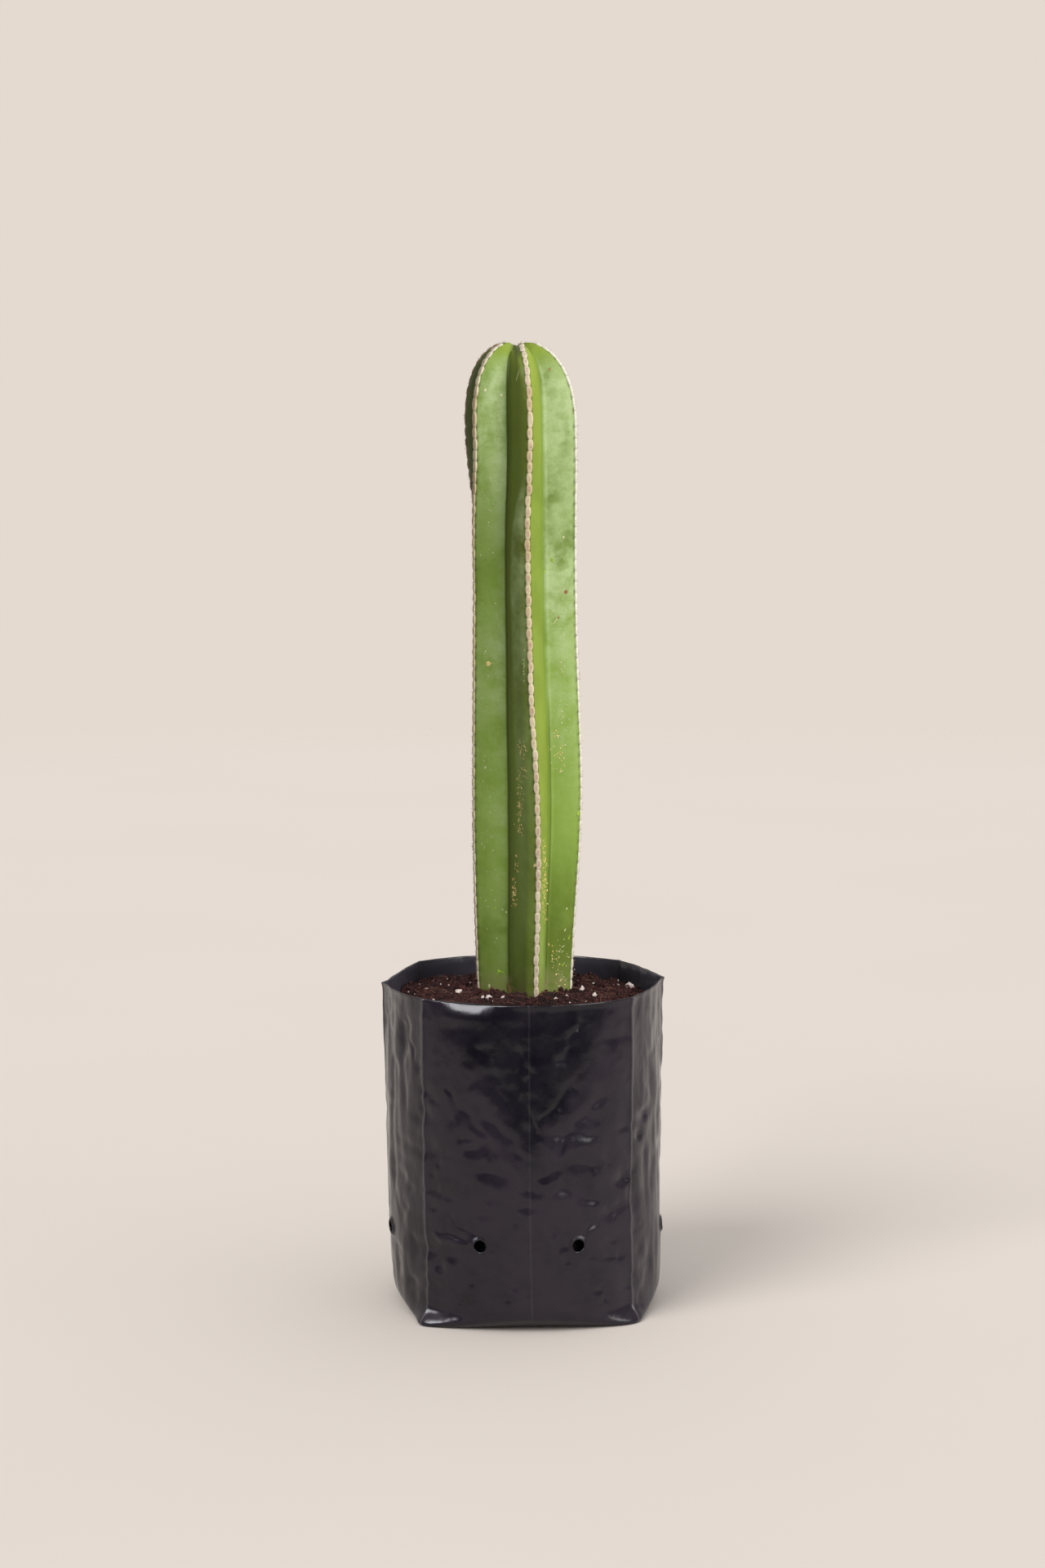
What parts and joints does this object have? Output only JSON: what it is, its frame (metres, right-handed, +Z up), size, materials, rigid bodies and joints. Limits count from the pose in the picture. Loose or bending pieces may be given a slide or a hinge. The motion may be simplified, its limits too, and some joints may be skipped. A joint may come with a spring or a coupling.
{
  "type": "potted columnar cactus",
  "caption": "Tall ribbed column cactus with a cream felt line on every rib edge, standing in coir and perlite mix in a black film grow bag.",
  "frame": {"origin": "middle of the object's box at the flat underside of the grow bag", "axes": "+Z up along the stem, -Y out of the bag's front panel, +X to the right seen from the front"},
  "size_m": [0.1608, 0.1589, 0.5538],
  "materials": {
    "bag_film": "thin black polyethylene film, soft gloss, finely creased",
    "potting_mix": "crumbly dark reddish coir and bark fines, matt and damp",
    "stem_skin": "waxy green skin with a pale bloom, satin",
    "areole_felt": "short cream felt with pinkish brown middles, matt",
    "perlite": "white porous grains, matt"
  },
  "bodies": {
    "root": {"grow_bag": "bag_film", "potting_soil": "potting_mix", "cactus_stem": "stem_skin", "areole_felt_1": "areole_felt", "areole_felt_2": "areole_felt", "areole_felt_3": "areole_felt", "areole_felt_4": "areole_felt", "areole_felt_5": "areole_felt", "areole_felt_6": "areole_felt", "perlite_grain_01": "perlite", "perlite_grain_02": "perlite", "perlite_grain_03": "perlite", "perlite_grain_04": "perlite", "perlite_grain_05": "perlite", "perlite_grain_06": "perlite", "perlite_grain_07": "perlite", "perlite_grain_08": "perlite", "perlite_grain_09": "perlite", "perlite_grain_10": "perlite", "perlite_grain_11": "perlite", "perlite_grain_12": "perlite", "perlite_grain_13": "perlite", "perlite_grain_14": "perlite"}
  },
  "joints": []
}
